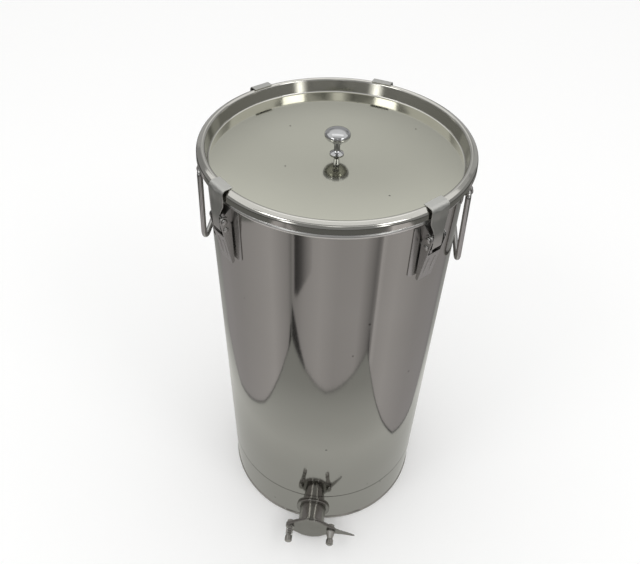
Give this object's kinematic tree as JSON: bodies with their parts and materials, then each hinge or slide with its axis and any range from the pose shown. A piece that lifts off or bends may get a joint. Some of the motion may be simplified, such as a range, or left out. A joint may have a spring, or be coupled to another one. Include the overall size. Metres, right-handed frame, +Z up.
{
  "type": "honey settling tank",
  "caption": "Tall stainless cylinder for settling honey, with a dished lid held by over-centre latches, wire drop handles and a swing gate outlet at the foot.",
  "frame": {"origin": "middle of the flat bottom that the tank stands on", "axes": "+Z up along the tank's axis, the outlet gate points along -Y, +X to the right of the gate"},
  "size_m": [0.3184, 0.371, 0.6235],
  "materials": {
    "shell_steel": "bright polished sheet",
    "lid_steel": "bright polished sheet",
    "knob_chrome": "mirror",
    "gasket_rubber": "matt",
    "latch_steel": "satin",
    "pin_steel": "bright",
    "rod_steel": "bright",
    "gate_steel": "satin",
    "nut_steel": "turned",
    "wire_steel": "drawn wire"
  },
  "bodies": {
    "tank": {"tank_shell": "shell_steel", "mouth_wire": "wire_steel", "base_pan": "shell_steel", "latch_base_1": "latch_steel", "latch_base_2": "latch_steel", "latch_base_3": "latch_steel", "latch_base_4": "latch_steel", "lever_pin_1": "pin_steel", "lever_pin_2": "pin_steel", "lever_pin_3": "pin_steel", "lever_pin_4": "pin_steel", "handle_bracket_left": "latch_steel", "handle_bracket_right": "latch_steel", "outlet_collar": "gate_steel", "gate_body": "gate_steel", "gate_seal": "gasket_rubber", "pivot_stud": "nut_steel", "pivot_washer": "nut_steel", "pivot_spring": "wire_steel", "pivot_nut": "nut_steel", "lock_stud": "nut_steel", "lock_washer": "nut_steel"},
    "lid": {"lid_pan": "lid_steel", "lid_gasket": "gasket_rubber", "lid_knob": "knob_chrome", "knob_screw": "knob_chrome", "knob_washer": "knob_chrome"},
    "lever_1": {"latch_lever_1": "latch_steel", "hook_pin_1": "pin_steel"},
    "hook_1": {"latch_hook_1": "latch_steel"},
    "lever_2": {"latch_lever_2": "latch_steel", "hook_pin_2": "pin_steel"},
    "hook_2": {"latch_hook_2": "latch_steel"},
    "lever_3": {"latch_lever_3": "latch_steel", "hook_pin_3": "pin_steel"},
    "hook_3": {"latch_hook_3": "latch_steel"},
    "lever_4": {"latch_lever_4": "latch_steel", "hook_pin_4": "pin_steel"},
    "hook_4": {"latch_hook_4": "latch_steel"},
    "handle_left": {"handle_left": "rod_steel"},
    "handle_right": {"handle_right": "rod_steel"},
    "gate_flap": {"gate_flap": "gate_steel"},
    "thumb_nut": {"thumb_nut": "nut_steel"}
  },
  "joints": [
    {"name": "lid_turn", "type": "hinge", "parent": "tank", "child": "lid", "pos_m": [0, 0, 0.5943], "axis": [0, 0, 1], "continuous": true},
    {"name": "lever_1_swing", "type": "hinge", "parent": "tank", "child": "lever_1", "pos_m": [-0.11349, -0.11349, 0.574], "axis": [-0.7071, 0.7071, 0], "range_deg": [0, 110]},
    {"name": "hook_1_swing", "type": "hinge", "parent": "lever_1", "child": "hook_1", "pos_m": [-0.11285, -0.11285, 0.5635], "axis": [-0.7071, 0.7071, 0], "range_deg": [-119, 0]},
    {"name": "lever_2_swing", "type": "hinge", "parent": "tank", "child": "lever_2", "pos_m": [0.11349, -0.11349, 0.574], "axis": [-0.7071, -0.7071, 0], "range_deg": [0, 110]},
    {"name": "hook_2_swing", "type": "hinge", "parent": "lever_2", "child": "hook_2", "pos_m": [0.11285, -0.11285, 0.5635], "axis": [-0.7071, -0.7071, 0], "range_deg": [-119, 0]},
    {"name": "lever_3_swing", "type": "hinge", "parent": "tank", "child": "lever_3", "pos_m": [0.04693, 0.15349, 0.574], "axis": [0.9563, -0.2924, 0], "range_deg": [0, 110]},
    {"name": "hook_3_swing", "type": "hinge", "parent": "lever_3", "child": "hook_3", "pos_m": [0.04666, 0.15263, 0.5635], "axis": [0.9563, -0.2924, 0], "range_deg": [-119, 0]},
    {"name": "lever_4_swing", "type": "hinge", "parent": "tank", "child": "lever_4", "pos_m": [-0.11149, 0.11545, 0.574], "axis": [0.7193, 0.6947, 0], "range_deg": [0, 110]},
    {"name": "hook_4_swing", "type": "hinge", "parent": "lever_4", "child": "hook_4", "pos_m": [-0.11087, 0.11481, 0.5635], "axis": [0.7193, 0.6947, 0], "range_deg": [-119, 0]},
    {"name": "handle_left_swing", "type": "hinge", "parent": "tank", "child": "handle_left", "pos_m": [-0.14929, 0, 0.585], "axis": [0, 1, 0], "range_deg": [0, 115]},
    {"name": "handle_right_swing", "type": "hinge", "parent": "tank", "child": "handle_right", "pos_m": [0.14929, 0, 0.585], "axis": [0, -1, 0], "range_deg": [0, 115]},
    {"name": "flap_swing", "type": "hinge", "parent": "tank", "child": "gate_flap", "pos_m": [-0.0315, -0.1833, 0.0355], "axis": [0, -1, 0], "range_deg": [0, 95]},
    {"name": "thumb_nut_turn", "type": "hinge", "parent": "tank", "child": "thumb_nut", "pos_m": [0.0315, -0.1833, 0.0355], "axis": [0, -1, 0], "continuous": true}
  ],
  "couplings": [
    {"joint": "hook_1_swing", "follows": "lever_1_swing", "ratio": -1.08},
    {"joint": "hook_2_swing", "follows": "lever_2_swing", "ratio": -1.08},
    {"joint": "hook_3_swing", "follows": "lever_3_swing", "ratio": -1.08},
    {"joint": "hook_4_swing", "follows": "lever_4_swing", "ratio": -1.08}
  ]
}
